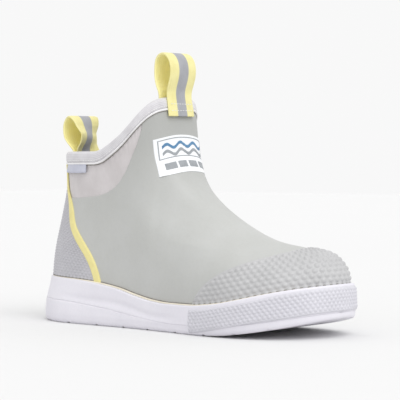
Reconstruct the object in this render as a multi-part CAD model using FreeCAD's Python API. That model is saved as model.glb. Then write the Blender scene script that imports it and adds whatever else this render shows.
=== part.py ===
import FreeCAD, Part
import math
import os

os.makedirs("parts", exist_ok=True)
V = FreeCAD.Vector

# ---------------------------------------------------------------- driving dimensions (mm)
# A right boot: toe at +X, outer (lateral) side at -Y, sole on z = 0.
SHIFT_Y = -1.5            # puts the middle of the sole's width on y = 0
FOOT_Z = 30.0             # height of the foot outline that the sole copies
RUBBER = 1.8              # thickness of the moulded rubber upper
GUSSET_STEP = 0.5         # the knit gusset sits this far under the rubber's face
LINING = 2.5              # foam lining behind the rubber
WALL = RUBBER + LINING
CAP = 1.0                 # raised toe cap
COVER = 0.7               # raised heel cover
STRIPE = 0.9              # raised heel stripe
STRIPE_W = 7.0
BIND = 1.0                # binding tape thickness
BIND_H = 7.0              # how far the binding laps down the collar
PIPE_H = 2.0              # piping strip under the binding
STRAP_W = 30.0            # pull strap width
STRAP_T = 1.6
LOOP_STRIPE_W = 10.0
TAIL_DOWN = 9.8           # how far the front strap's ends reach below its pivot
LABEL_W = 54.0
LABEL_Z0 = 114.5
LABEL_Z1 = 142.5
BOARD_T = 2.0
FOOTBED_T = 4.5
FOOTBED_COVER_T = 1.5
FOOTBED_GAP = 2.0         # room round the loose footbed

# front line of the upper (height, x) and back line (height, x)
FRONT = [(14, 128.2), (24, 132.2), (34, 134.2), (42, 135.4), (48, 134.3), (54, 130.8), (57, 128.3),
         (59.5, 124.8), (61.5, 118.7), (63, 109.6), (64.5, 98.4), (66, 88.3), (68, 78.4),
         (71, 69.3), (75, 60.2), (80, 50.5), (87, 38.4), (96, 24.2), (106, 11.2), (118, 1.5),
         (131, -5.4), (145, -8.3), (162, -10.5), (182, -14.1), (206, -18.7)]
BACK = [(14, -136.2), (24, -135.1), (34, -134.0), (46, -132.8), (60, -130.9), (76, -127.0),
        (92, -123.1), (106, -120.2), (118, -120.1), (130, -121.0), (145, -122.3),
        (165, -123.8), (190, -125.7), (206, -126.9)]
# length over which each level rounds off at the toe end and at the heel end
NOSE = [(14, 60), (40, 66), (70, 74), (110, 58), (150, 37), (206, 33)]
TAIL = [(14, 44), (40, 44), (80, 46), (120, 46), (160, 48), (206, 50)]
ARCH_Z = 20.0             # height at which the arched cross section over the foot starts to close
ARCH_POWER = 2.4
BLUNT = [(14, 2.0), (82, 2.0), (122, 3.7), (206, 4.0)]   # how square the front is in plan, up the shaft
# half widths along the foot at several heights, outer side then inner side
WIDTH_X = [-135, -105, -75, -35, 5, 45, 75, 100, 145]
WIDTH_Z = [14, 40, 70, 100, 130, 160, 206]
OUTER_W = [[33, 33.5, 33.5, 33.5, 37, 43, 46, 46, 46],
           [33, 33.5, 34, 34.5, 38, 44, 47, 47, 47],
           [31, 32, 34, 36, 39, 44, 46, 46, 46],
           [29, 30.5, 34, 37, 39, 42, 44, 44, 44],
           [29, 31, 35, 37.5, 38.5, 40, 42, 42, 42],
           [31, 33, 37, 38.5, 38.5, 40, 40, 40, 40],
           [33, 35, 39, 40, 40, 40, 40, 40, 40]]
INNER_W = [[31, 31, 30, 28.5, 33, 41, 44, 43, 43],
           [31, 31.5, 31, 30, 34, 42, 45, 44, 44],
           [30, 31, 32, 33, 36, 41, 43, 42, 42],
           [29, 30, 33, 35.5, 37, 40, 41, 40, 40],
           [29, 31, 34.5, 37, 37, 39, 40, 40, 40],
           [31, 33, 37, 38.5, 38.5, 40, 40, 40, 40],
           [33, 35, 39, 40, 40, 40, 40, 40, 40]]
LEVELS = [14, 22, 30, 38, 44, 49, 53, 56, 58.5, 60.5, 62, 63.4, 64.8, 66.3, 68.3, 71.2, 75.5,
          81.5, 89, 98, 108, 120, 133, 146, 160, 175, 190, 206]
HALF_RING = 20

# side view lines (x, z)
BITE = [(-150, 38.8), (-120, 38.3), (-90, 37.0), (-60, 34.2), (-40, 31.0), (-20, 26.4),
        (0, 22.8), (20, 21.2), (40, 21.6), (60, 23.8), (80, 27.4), (100, 31.8), (120, 36.0), (150, 40.5)]
UNDER = [(-150, 4.5), (-140, 2.2), (-130, 0.6), (-120, 0.0), (45, 0.0), (62, 0.9), (80, 2.8),
         (100, 6.0), (120, 10.2), (150, 18.0)]
SPLIT = [(-150, 18.5), (-100, 17.5), (-60, 14.5), (-20, 9.5), (20, 6.5), (60, 7.2), (100, 12.0), (150, 21.0)]
COLLAR = [(-150, 132.4), (-110, 132.4), (-85, 132.5), (-70, 132.6), (-62, 134.0), (-54.5, 137.4),
          (-47.1, 141.6), (-39.5, 146.8), (-33.1, 152.8), (-27.9, 158.6), (-23.0, 164.2), (-18.2, 169.4),
          (-14.4, 172.8), (-11.5, 174.5), (0, 175.0), (10, 175.0)]
GUSSET = [(-21.6, 190.0), (-22.1, 152.5), (-23.8, 145.0), (-26.6, 136.7), (-30.1, 129.0),
          (-33.4, 121.5), (-37.5, 115.0), (-43.0, 109.0), (-50.4, 104.2), (-57.9, 101.4),
          (-66.0, 99.8), (-76.0, 98.8), (-92.0, 97.8), (-112.0, 97.6), (-150.0, 97.6)]
TOECAP = [(34.0, 12.0), (36.5, 22.0), (43.7, 32.8), (53.0, 40.5), (65.0, 47.4), (76.0, 52.4),
          (87.0, 56.4), (97.0, 59.6), (104.0, 62.4), (108.0, 66.0), (112.0, 80.0)]
STRIPE_LINE = [(-112.2, 140.0), (-112.0, 126.0), (-111.6, 118.0), (-110.4, 111.0), (-107.4, 104.4),
               (-103.2, 98.6), (-99.4, 92.4), (-97.0, 86.0), (-94.0, 77.0), (-88.5, 68.8),
               (-81.5, 60.6), (-75.0, 53.0), (-69.6, 44.5), (-65.8, 35.0), (-63.0, 24.0)]
STRIPE_THIN = 0.38        # the stripe's width over the ankle, as a share of its full width
BAND_LOW = [(30, 1.0), (48, 2.6), (70, 6.6), (92, 11.0), (119, 16.0), (130, 18.4), (150, 21.5)]
BAND_TOP = [(30, 19.0), (48, 20.2), (70, 22.6), (100, 28.0), (107, 29.4), (129, 34.0), (150, 37.0)]
BAND_X0 = 37.0
SPAN = 160.0


def natural(points):
    """natural cubic spline through (x, y) points, held constant outside"""
    xs = [p[0] for p in points]
    ys = [p[1] for p in points]
    n = len(xs)
    h = [xs[i + 1] - xs[i] for i in range(n - 1)]
    a = [0.0] * n
    b = [1.0] * n
    c = [0.0] * n
    d = [0.0] * n
    for i in range(1, n - 1):
        a[i] = h[i - 1]
        b[i] = 2.0 * (h[i - 1] + h[i])
        c[i] = h[i]
        d[i] = 6.0 * ((ys[i + 1] - ys[i]) / h[i] - (ys[i] - ys[i - 1]) / h[i - 1])
    for i in range(1, n):
        w = a[i] / b[i - 1]
        b[i] -= w * c[i - 1]
        d[i] -= w * d[i - 1]
    m = [0.0] * n
    m[-1] = d[-1] / b[-1]
    for i in range(n - 2, -1, -1):
        m[i] = (d[i] - c[i] * m[i + 1]) / b[i]

    def value(x):
        x = min(max(x, xs[0]), xs[-1])
        k = 0
        while k < n - 2 and x > xs[k + 1]:
            k += 1
        t0 = xs[k + 1] - x
        t1 = x - xs[k]
        curve = (m[k] * t0 ** 3 + m[k + 1] * t1 ** 3) / (6 * h[k])
        line = (ys[k] / h[k] - m[k] * h[k] / 6) * t0 + (ys[k + 1] / h[k] - m[k + 1] * h[k] / 6) * t1
        return curve + line
    return value


def smooth(points):
    """monotone cubic through (x, y) points, held constant outside"""
    xs = [p[0] for p in points]
    ys = [p[1] for p in points]
    n = len(xs)
    slope = [(ys[i + 1] - ys[i]) / (xs[i + 1] - xs[i]) for i in range(n - 1)]
    m = [slope[0]] + [0.0] * (n - 2) + [slope[-1]]
    for i in range(1, n - 1):
        if slope[i - 1] * slope[i] > 0:
            w1 = 2 * (xs[i + 1] - xs[i]) + (xs[i] - xs[i - 1])
            w2 = (xs[i + 1] - xs[i]) + 2 * (xs[i] - xs[i - 1])
            m[i] = (w1 + w2) / (w1 / slope[i - 1] + w2 / slope[i])

    def value(x):
        x = min(max(x, xs[0]), xs[-1])
        k = 0
        while k < n - 2 and x > xs[k + 1]:
            k += 1
        h = xs[k + 1] - xs[k]
        t = (x - xs[k]) / h
        left = (2 * t ** 3 - 3 * t ** 2 + 1) * ys[k] + (t ** 3 - 2 * t ** 2 + t) * h * m[k]
        right = (-2 * t ** 3 + 3 * t ** 2) * ys[k + 1] + (t ** 3 - t ** 2) * h * m[k + 1]
        return left + right
    return value


front_x = natural(FRONT)
back_x = natural(BACK)
nose_len = smooth(NOSE)
tail_len = smooth(TAIL)
blunt = smooth(BLUNT)
outer_rows = [smooth(list(zip(WIDTH_X, row))) for row in OUTER_W]
inner_rows = [smooth(list(zip(WIDTH_X, row))) for row in INNER_W]
bite_z = smooth(BITE)
under_z = smooth(UNDER)
split_z = smooth(SPLIT)
collar_z = smooth(COLLAR)
band_low_z = smooth(BAND_LOW)
band_top_z = smooth(BAND_TOP)


def ridge_table():
    """(x, height) pairs down the front line, from the collar to the toe, with x always growing"""
    rows = []
    high = -1e9
    for i in range(768, -1, -1):
        z = 14.0 + 0.25 * i
        high = max(front_x(z), high + 1e-6)
        rows.append((high, z))
    return rows


RIDGE = ridge_table()


def ridge_z(x):
    """height of the front line above a point along the foot"""
    if x <= RIDGE[0][0]:
        return RIDGE[0][1] + (RIDGE[0][0] - x) * 4.0
    lo = 0
    hi = len(RIDGE) - 1
    if x >= RIDGE[hi][0]:
        return RIDGE[hi][1]
    while hi - lo > 1:
        mid = (lo + hi) // 2
        if RIDGE[mid][0] <= x:
            lo = mid
        else:
            hi = mid
    k = (x - RIDGE[lo][0]) / (RIDGE[hi][0] - RIDGE[lo][0])
    return RIDGE[lo][1] + k * (RIDGE[hi][1] - RIDGE[lo][1])


def foot_point(t, z):
    """point of the upper's face: t runs 0..1 from the heel round the outer side, toe and inner side"""
    t = t % 1.0
    side = -1.0 if t < 0.5 else 1.0
    s = 2.0 * t if t < 0.5 else 2.0 * (1.0 - t)
    xb = back_x(z)
    xf = front_x(z)
    x = xb + (xf - xb) * (1.0 - math.cos(math.pi * s)) / 2.0
    uf = max(0.0, min(1.0, (xf - x) / nose_len(z)))
    ub = max(0.0, min(1.0, (x - xb) / tail_len(z)))
    plan = max(1e-7, 1.0 - (1.0 - uf) ** 2.25)
    rise = max(0.0, min(1.0, (z - ARCH_Z) / max(1.0, ridge_z(x) - ARCH_Z)))
    arch = max(1e-7, 1.0 - rise ** ARCH_POWER)
    front = (1.0 / (1.0 / plan + 1.0 / arch - 1.0)) ** (1.0 / blunt(z)) if s < 1.0 else 0.0
    round_off = front * math.sqrt(max(0.0, 1.0 - (1.0 - ub) ** 2.3))
    rows = outer_rows if side < 0 else inner_rows
    width = smooth(list(zip(WIDTH_Z, [r(x) for r in rows])))(z)
    k = max(0.0, min(1.0, (x + 15.0) / 160.0))
    return V(x, 8.0 * k * k + side * width * round_off + SHIFT_Y, z)


def foot_normal(t, z):
    along = foot_point(t + 0.002, z) - foot_point(t - 0.002, z)
    up = foot_point(t, z + 0.4) - foot_point(t, z - 0.4)
    n = along.cross(up)
    n.normalize()
    return n


N_RING = 2 * HALF_RING
BASE = [[(foot_point(j / N_RING, z), foot_normal(j / N_RING, z)) for j in range(N_RING)] for z in LEVELS]


def shared_knots():
    """one set of curve parameters for every ring, so that the rings blend without extra knots"""
    total = [0.0] * (N_RING + 1)
    for ring in BASE:
        length = [0.0]
        for j in range(N_RING):
            gap = (ring[(j + 1) % N_RING][0] - ring[j][0]).Length
            length.append(length[-1] + gap)
        for j in range(N_RING + 1):
            total[j] += length[j] / length[-1] / len(BASE)
    return total


KNOTS = shared_knots()


def ring_wire(points):
    curve = Part.BSplineCurve()
    curve.interpolate(Points=points, PeriodicFlag=True, Parameters=KNOTS)
    return Part.Wire([curve.toShape()])


tubes = {}


def tube(offset):
    """closed solid bounded by the upper's face moved out by offset"""
    if offset not in tubes:
        wires = []
        for k, ring in enumerate(BASE):
            pts = []
            for p, n in ring:
                q = p + n * offset
                if k in (0, len(BASE) - 1):
                    q.z = p.z
                pts.append(q)
            wires.append(ring_wire(pts))
        tubes[offset] = Part.makeLoft(wires, True, False)
    return tubes[offset]


def prism(points, y0=-SPAN, y1=SPAN, curved=None):
    """outline in the XZ plane drawn out along Y; curved lists (start, end) runs drawn as splines"""
    edges = []
    runs = curved or []
    i = 0
    n = len(points)
    pts = [V(p[0], y0, p[1]) for p in points]
    while i < n:
        run = [r for r in runs if r[0] == i]
        if run:
            end = run[0][1]
            c = Part.BSplineCurve()
            c.interpolate(pts[i:end + 1])
            edges.append(c.toShape())
            i = end
            if end == n - 1:
                edges.append(Part.makeLine(pts[end], pts[0]))
                break
        else:
            edges.append(Part.makeLine(pts[i], pts[(i + 1) % n]))
            i += 1
    face = Part.Face(Part.Wire(edges))
    return face.extrude(V(0, y1 - y0, 0))


def between(low, high, x0=-150.0, x1=150.0, y0=-SPAN, y1=SPAN, steps=30):
    """block between two side view lines"""
    xs = [x0 + (x1 - x0) * i / steps for i in range(steps + 1)]
    lower = [(x, low(x)) for x in xs]
    upper = [(x, high(x)) for x in reversed(xs)]
    return prism(lower + upper, y0, y1, [(0, steps), (steps + 1, 2 * steps + 1)])


def level(z):
    return lambda x: z


def lifted(line, dz):
    return lambda x: line(x) + dz


def ribbon(path, half, taper=None):
    """prism of a strip of given half width that follows a side view path"""
    curve = Part.BSplineCurve()
    curve.interpolate([V(p[0], 0, p[1]) for p in path])
    a, b = curve.FirstParameter, curve.LastParameter
    left = []
    right = []
    steps = 24
    for i in range(steps + 1):
        u = a + (b - a) * i / steps
        p = curve.value(u)
        d = curve.tangent(u)[0]
        w = half * (taper(i / steps) if taper else 1.0)
        left.append((p.x - d.z * w, p.z + d.x * w))
        right.append((p.x + d.z * w, p.z - d.x * w))
    right.reverse()
    return prism(left + right, curved=[(0, steps), (steps + 1, 2 * steps + 1)])


def box(x0, x1, y0, y1, z0, z1):
    return Part.makeBox(x1 - x0, y1 - y0, z1 - z0, V(x0, y0, z0))


skins = {}


def side_and_ends(solid):
    """the wrapping face of a tube and its two end outlines, lower one first"""
    flat = [f for f in solid.Faces if f.Surface.TypeId == "Part::GeomPlane"]
    side = [f for f in solid.Faces if f.Surface.TypeId != "Part::GeomPlane"]
    flat.sort(key=lambda f: f.CenterOfMass.z)
    return side, flat[0].OuterWire, flat[-1].OuterWire


def skin(outer, inner):
    """closed solid wall between two offsets of the upper's face"""
    key = (outer, inner)
    if key not in skins:
        side_a, low_a, high_a = side_and_ends(tube(outer))
        side_b, low_b, high_b = side_and_ends(tube(inner))
        caps = []
        for wa, wb in ((low_a, low_b), (high_a, high_b)):
            big = Part.Face(wa)
            hole = Part.Face(wb)
            caps.append(big.cut(hole).Faces[0])
        shell = Part.Shell(side_a + side_b + caps)
        solid = Part.Solid(shell)
        if solid.Volume < 0:
            solid.reverse()
        skins[key] = solid
    return skins[key]


def keep_big(shape, least=1.0):
    solids = [s for s in shape.Solids if s.Volume > least]
    if len(solids) == 1:
        return solids[0]
    return Part.Compound(solids)


saved = {}


def save(name, shape, least=1.0):
    shape = keep_big(shape, least)
    saved[name] = shape
    shape.exportStep("parts/%s.step" % name)
    bb = shape.optimalBoundingBox() if shape.Solids else FreeCAD.BoundBox()
    print("%-24s solids %2d  vol %9.1f  valid %s  x %.1f..%.1f y %.1f..%.1f z %.1f..%.1f" % (
        name, len(shape.Solids), shape.Volume, shape.isValid(),
        bb.XMin, bb.XMax, bb.YMin, bb.YMax, bb.ZMin, bb.ZMax), flush=True)
    return shape


# ---------------------------------------------------------------- cutting blocks
over_bite = between(bite_z, level(230.0))
under_collar = between(level(0.0), collar_z)
wall_block = between(bite_z, collar_z)


def above_ground(high):
    """block between the underside, flat where it stands, and a side view line"""
    heel = [(-150.0 + 3.0 * i, under_z(-150.0 + 3.0 * i)) for i in range(11)]
    toe = [(45.0 + 5.0 * i, under_z(45.0 + 5.0 * i)) for i in range(22)]
    top = [(150.0 - 10.0 * i, high(150.0 - 10.0 * i)) for i in range(31)]
    return prism(heel + toe + top, curved=[(0, 10), (11, 32), (33, 63)])


def sole_ring(lift, offset, flat=None):
    pts = []
    for j in range(N_RING):
        p = foot_point(j / N_RING, FOOT_Z)
        n = foot_normal(j / N_RING, FOOT_Z)
        n = V(n.x, n.y, 0)
        n.normalize()
        q = p + n * offset
        q.z = flat if flat is not None else under_z(q.x) + lift
        pts.append(q)
    return ring_wire(pts)


def sole_tube(extra):
    """the sole's side wall: flares out below the bite line and tucks in at the ground edge"""
    rings = [sole_ring(0, 4.0 + extra, -14.0), sole_ring(0.0, 4.0 + extra), sole_ring(0.9, 5.3 + extra),
             sole_ring(2.6, 6.2 + extra), sole_ring(7.0, 6.7 + extra), sole_ring(20.0, 6.1 + extra),
             sole_ring(0, 4.4 + extra, 52.0)]
    return Part.makeLoft(rings, True, True)


# ---------------------------------------------------------------- sole unit
sole = sole_tube(0.0)
sole = sole.common(above_ground(bite_z))
band_block = between(band_low_z, band_top_z, x0=BAND_X0)
toe_band = sole_tube(0.8).cut(sole_tube(-1.2)).common(band_block).common(above_ground(bite_z))
band_seat = sole_tube(6.0).cut(sole_tube(-1.2)).common(band_block)
lower = sole.common(between(level(-20.0), split_z)).cut(band_seat)
upper_sole = sole.common(between(split_z, bite_z)).cut(band_seat)
for i in range(11):
    gx = -128.0 + 23.5 * i
    gz = under_z(gx)
    lower = lower.cut(box(gx - 1.6, gx + 1.6, -80, 80, gz - 4.0, gz + 3.2))
for i in range(10):
    gx = -116.2 + 23.5 * i
    gz = under_z(gx)
    for gy in (-26.0, 18.0):
        lower = lower.cut(box(gx - 7.5, gx + 7.5, gy, gy + 3.2, gz - 4.0, gz + 2.6))
shank = between(lifted(split_z, 4.0), lifted(split_z, 5.4), x0=-78.0, x1=4.0, y0=-11.0 + SHIFT_Y, y1=11.0 + SHIFT_Y)
upper_sole = upper_sole.cut(shank)
lower = lower.removeSplitter()
save("outsole", lower)
save("midsole", upper_sole)
save("toe_foxing_band", toe_band)
save("shank", shank)

# ---------------------------------------------------------------- inside the upper, at the bottom
save("insole_board", tube(-WALL).common(between(bite_z, lifted(bite_z, BOARD_T))))
bed_low = lifted(bite_z, BOARD_T)
bed_mid = lifted(bite_z, BOARD_T + FOOTBED_T)
bed_top = lifted(bite_z, BOARD_T + FOOTBED_T + FOOTBED_COVER_T)
save("footbed", tube(-WALL - FOOTBED_GAP).common(between(bed_low, bed_mid)))
save("footbed_cover", tube(-WALL - FOOTBED_GAP).common(between(bed_mid, bed_top)))

# ---------------------------------------------------------------- upper
def stripe_taper(k):
    rise = max(0.0, min(1.0, (k - 0.27) / 0.20))
    return STRIPE_THIN + (1.0 - STRIPE_THIN) * rise * rise * (3.0 - 2.0 * rise)


stripe_block = ribbon(STRIPE_LINE, STRIPE_W / 2.0, stripe_taper)
cover_run = [(-160.0, 20.0), (-160.0, 140.0)] + STRIPE_LINE
cover_block = prism(cover_run, curved=[(2, len(cover_run) - 1)])
rubber_shell = skin(0.0, -RUBBER).common(wall_block)
gusset_run = [(-150.0, 190.0)] + GUSSET
gusset_block = prism(gusset_run, curved=[(2, len(gusset_run) - 1)])
gusset_block = gusset_block.cut(cover_block).cut(stripe_block)
rubber = rubber_shell.cut(gusset_block)
save("rubber_upper", rubber)
gusset = skin(-GUSSET_STEP, -RUBBER).common(wall_block).common(gusset_block)
save("gusset_outer_side", gusset.common(box(-160, 20, -90, SHIFT_Y, 60, 200)))
save("gusset_inner_side", gusset.common(box(-160, 20, SHIFT_Y, 90, 60, 200)))

toe_run = TOECAP + [(160.0, 80.0), (160.0, 12.0)]
toe_block = prism(toe_run, curved=[(0, len(TOECAP) - 1)])
save("toe_cap", skin(CAP, 0.0).common(over_bite).common(toe_block))
puff_block = prism([(88.0, 10.0), (96.0, 90.0), (160.0, 90.0), (160.0, 10.0)])
puff = skin(-RUBBER, -RUBBER - 0.9).common(over_bite).common(puff_block)
save("toe_puff", puff)
counter_block = prism([(-150.0, 10.0), (-150.0, 92.0), (-112.0, 90.0), (-78.0, 10.0)])
counter = skin(-RUBBER, -RUBBER - 1.1).common(over_bite).common(counter_block)
save("heel_stiffener", counter)
lining = skin(-RUBBER, -WALL).common(wall_block).cut(puff).cut(counter)
save("lining", lining)

under_piping = between(bite_z, lifted(collar_z, -BIND_H - PIPE_H))
stripe = skin(STRIPE, 0.0).common(under_piping).common(stripe_block)
save("heel_stripe_outer_side", stripe.common(box(-160, 20, -90, SHIFT_Y, 10, 200)))
save("heel_stripe_inner_side", stripe.common(box(-160, 20, SHIFT_Y, 90, 10, 200)))
cover = skin(COVER, 0.0).common(under_piping).common(cover_block).cut(stripe_block)
save("heel_cover", cover)

welt = skin(1.3, 0.0).common(between(bite_z, lifted(bite_z, 1.3)))
welt = welt.cut(toe_block).cut(cover_block).cut(stripe_block)
save("welt_cord", welt)

# ---------------------------------------------------------------- collar
wall = skin(0.0, -WALL).common(under_collar)
ring = skin(BIND, -WALL - BIND).common(between(lifted(collar_z, -BIND_H), lifted(collar_z, 1.2)))
binding = ring.cut(wall)
save("collar_binding", binding)
piping = skin(BIND + 0.2, 0.0).common(between(lifted(collar_z, -BIND_H - PIPE_H), lifted(collar_z, -BIND_H)))
save("collar_piping", piping)
tag = skin(1.5, -GUSSET_STEP).common(box(-107.5, -76.0, -90.0, -10.0, 117.4, 150.0))
tag = tag.common(between(level(100.0), lifted(collar_z, -BIND_H - PIPE_H)))
save("rear_tag", tag)

# ---------------------------------------------------------------- front label with a plain wave mark
label_half = LABEL_W / 2.0
label_block = box(-40, 60, SHIFT_Y - label_half, SHIFT_Y + label_half, LABEL_Z0, LABEL_Z1)
save("front_label", skin(0.5, 0.0).common(label_block))


def wave(y0, y1, zc, height, pitch, thick):
    """wavy bar across the label, as a block drawn along X"""
    steps = 40
    top = []
    low = []
    for i in range(steps + 1):
        y = y0 + (y1 - y0) * i / steps
        z = zc + height * math.sin(2 * math.pi * (y - y0) / pitch)
        top.append(V(-40, y, z + thick / 2))
        low.append(V(-40, y, z - thick / 2))
    low.reverse()
    c1 = Part.BSplineCurve()
    c1.interpolate(top)
    c2 = Part.BSplineCurve()
    c2.interpolate(low)
    rim = [c1.toShape(), Part.makeLine(top[-1], low[0]), c2.toShape(), Part.makeLine(low[-1], top[0])]
    return Part.Face(Part.Wire(rim)).extrude(V(100, 0, 0))


mark = skin(0.8, 0.5)
wy0 = SHIFT_Y - label_half + 5.0
wy1 = SHIFT_Y + label_half - 5.0
save("label_wave_upper", mark.common(wave(wy0, wy1, 135.2, 1.7, 14.667, 2.2)))
save("label_wave_lower", mark.common(wave(wy0, wy1, 130.0, 1.7, 14.667, 2.2)))
bars = [box(-40, 60, wy0 + 11.5 * i, wy0 + 11.5 * i + 9.0, 118.2, 122.8) for i in range(4)]
save("label_bars", mark.common(Part.Compound(bars)))
frame = box(-40, 60, SHIFT_Y - label_half + 2.0, SHIFT_Y + label_half - 2.0, 126.2, 140.8)
frame = frame.cut(box(-41, 61, SHIFT_Y - label_half + 2.6, SHIFT_Y + label_half - 2.6, 126.8, 140.2))
save("label_frame", skin(0.65, 0.5).common(frame))

# ---------------------------------------------------------------- pull straps
FRONT_PIVOT = (-14.4, collar_z(-14.4) - 2.2)
REAR_PIVOT = (-118.9, collar_z(-118.9) - 2.2)
FRONT_LOOP = [(4.0, 6.3), (3.6, 10.0), (5.0, 15.0), (6.6, 20.5), (6.6, 27.0), (3.6, 33.2), (-1.4, 36.4),
              (-6.2, 34.0), (-8.8, 28.0), (-9.0, 20.5), (-7.4, 13.5), (-5.4, 9.0), (-4.2, 6.3)]
REAR_LOOP = [(5.6, 5.6), (2.8, 9.5), (0.0, 14.5), (-1.6, 20.0), (-1.4, 25.5), (1.6, 30.4), (5.6, 31.6),
             (9.4, 28.0), (11.8, 21.5), (14.3, 15.6), (12.4, 9.6), (10.4, 5.2)]


def strap(path, pivot, low, high, y0, y1):
    """band that follows a side view path, between two distances from its centre line"""
    curve = Part.BSplineCurve()
    curve.interpolate([V(pivot[0] + p[0], 0, pivot[1] + p[1]) for p in path])
    a, b = curve.FirstParameter, curve.LastParameter
    one = []
    two = []
    steps = 48
    for i in range(steps + 1):
        u = a + (b - a) * i / steps
        p = curve.value(u)
        d = curve.tangent(u)[0]
        one.append((p.x - d.z * low, p.z + d.x * low))
        two.append((p.x - d.z * high, p.z + d.x * high))
    two.reverse()
    return prism(one + two, y0, y1, [(0, steps), (steps + 1, 2 * steps + 1)])


half_t = STRAP_T / 2.0
s0 = SHIFT_Y - STRAP_W / 2.0
s1 = SHIFT_Y + STRAP_W / 2.0
g0 = SHIFT_Y - LOOP_STRIPE_W / 2.0
g1 = SHIFT_Y + LOOP_STRIPE_W / 2.0
save("front_pull_loop", strap(FRONT_LOOP, FRONT_PIVOT, -half_t, half_t, s0, s1))
save("front_loop_stripe", strap(FRONT_LOOP, FRONT_PIVOT, -half_t - 0.4, -half_t, g0, g1))
save("rear_pull_loop", strap(REAR_LOOP, REAR_PIVOT, -half_t, half_t, s0, s1))
save("rear_loop_stripe", strap(REAR_LOOP, REAR_PIVOT, half_t, half_t + 0.4, g0, g1))

fx, fz = FRONT_PIVOT
outer_tail = skin(2.6, 0.0).common(box(fx + 1.0, fx + 20.0, s0, s1, fz - TAIL_DOWN, fz - 0.6))
outer_tail = outer_tail.cut(ring).cut(piping)
inner_tail = skin(-WALL, -WALL - 2.6).common(box(fx - 20.0, fx - 1.0, s0, s1, fz - TAIL_DOWN, fz - 0.6))
inner_tail = inner_tail.cut(ring)
save("front_loop_outer_tail", outer_tail)
save("front_loop_inner_tail", inner_tail)
tail_stripe = skin(2.9, 2.6).common(box(fx + 1.0, fx + 20.0, g0, g1, fz - TAIL_DOWN, fz - 0.6))
save("front_tail_stripe", tail_stripe)
rx, rz = REAR_PIVOT
rear_tail = skin(-WALL, -WALL - 2.8).common(box(rx + 1.0, rx + 20.0, s0, s1, rz - 15.5, rz - 0.6))
rear_tail = rear_tail.cut(ring)
save("rear_loop_tail", rear_tail)
stitches = []
for zz in (fz - 1.6, fz - 6.4):
    for i in range(3):
        yy = SHIFT_Y - 4.2 + 3.1 * i
        stitches.append(box(fx, fx + 25, yy, yy + 2.2, zz, zz + 0.6))
save("tail_stitches", skin(3.15, 2.9).common(Part.Compound(stitches)), 0.05)

total = None
for name, shape in saved.items():
    bb = shape.optimalBoundingBox() if shape.Solids else total
    if total is None:
        total = bb
    else:
        total.add(bb)
print("whole", total)
print("pivots", FRONT_PIVOT, REAR_PIVOT)
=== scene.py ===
import bpy
import math
import numpy as np
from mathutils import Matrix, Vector


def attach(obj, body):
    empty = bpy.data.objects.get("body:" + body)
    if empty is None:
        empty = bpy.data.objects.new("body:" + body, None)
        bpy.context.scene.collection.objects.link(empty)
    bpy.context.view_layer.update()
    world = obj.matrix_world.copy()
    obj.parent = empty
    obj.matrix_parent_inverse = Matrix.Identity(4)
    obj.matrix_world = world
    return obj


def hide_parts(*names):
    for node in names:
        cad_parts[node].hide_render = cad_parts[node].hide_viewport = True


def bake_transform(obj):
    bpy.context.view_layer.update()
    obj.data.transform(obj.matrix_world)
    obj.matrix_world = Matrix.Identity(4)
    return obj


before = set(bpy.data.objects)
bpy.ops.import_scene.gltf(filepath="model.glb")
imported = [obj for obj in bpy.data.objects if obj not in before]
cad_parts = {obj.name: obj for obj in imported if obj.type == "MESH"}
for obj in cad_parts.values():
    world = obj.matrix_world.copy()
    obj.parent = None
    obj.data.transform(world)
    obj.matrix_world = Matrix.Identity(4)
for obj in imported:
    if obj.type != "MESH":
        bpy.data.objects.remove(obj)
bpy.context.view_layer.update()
MM = 0.001

# ---------------------------------------------------------------- the boot's dimensions (mm), as in CAD
SHIFT_Y, FOOT_Z, WALL, RUBBER = -1.5, 30.0, 4.3, 1.8
BIND_H, PIPE_H = 7.0, 2.0
BOARD_T, FOOTBED_T, COVER_T, BED_GAP = 2.0, 4.5, 1.5, 2.0
ARCH_Z, ARCH_POWER = 20.0, 2.4
FRONT = [(14, 128.2), (24, 132.2), (34, 134.2), (42, 135.4), (48, 134.3), (54, 130.8), (57, 128.3),
         (59.5, 124.8), (61.5, 118.7), (63, 109.6), (64.5, 98.4), (66, 88.3), (68, 78.4),
         (71, 69.3), (75, 60.2), (80, 50.5), (87, 38.4), (96, 24.2), (106, 11.2), (118, 1.5),
         (131, -5.4), (145, -8.3), (162, -10.5), (182, -14.1), (206, -18.7)]
BACK = [(14, -136.2), (24, -135.1), (34, -134.0), (46, -132.8), (60, -130.9), (76, -127.0),
        (92, -123.1), (106, -120.2), (118, -120.1), (130, -121.0), (145, -122.3),
        (165, -123.8), (190, -125.7), (206, -126.9)]
NOSE = [(14, 60), (40, 66), (70, 74), (110, 58), (150, 37), (206, 33)]
BLUNT = [(14, 2.0), (82, 2.0), (122, 3.7), (206, 4.0)]
TAIL = [(14, 44), (40, 44), (80, 46), (120, 46), (160, 48), (206, 50)]
WIDTH_X = [-135, -105, -75, -35, 5, 45, 75, 100, 145]
WIDTH_Z = [14, 40, 70, 100, 130, 160, 206]
OUTER_W = [[33, 33.5, 33.5, 33.5, 37, 43, 46, 46, 46],
           [33, 33.5, 34, 34.5, 38, 44, 47, 47, 47],
           [31, 32, 34, 36, 39, 44, 46, 46, 46],
           [29, 30.5, 34, 37, 39, 42, 44, 44, 44],
           [29, 31, 35, 37.5, 38.5, 40, 42, 42, 42],
           [31, 33, 37, 38.5, 38.5, 40, 40, 40, 40],
           [33, 35, 39, 40, 40, 40, 40, 40, 40]]
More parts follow.
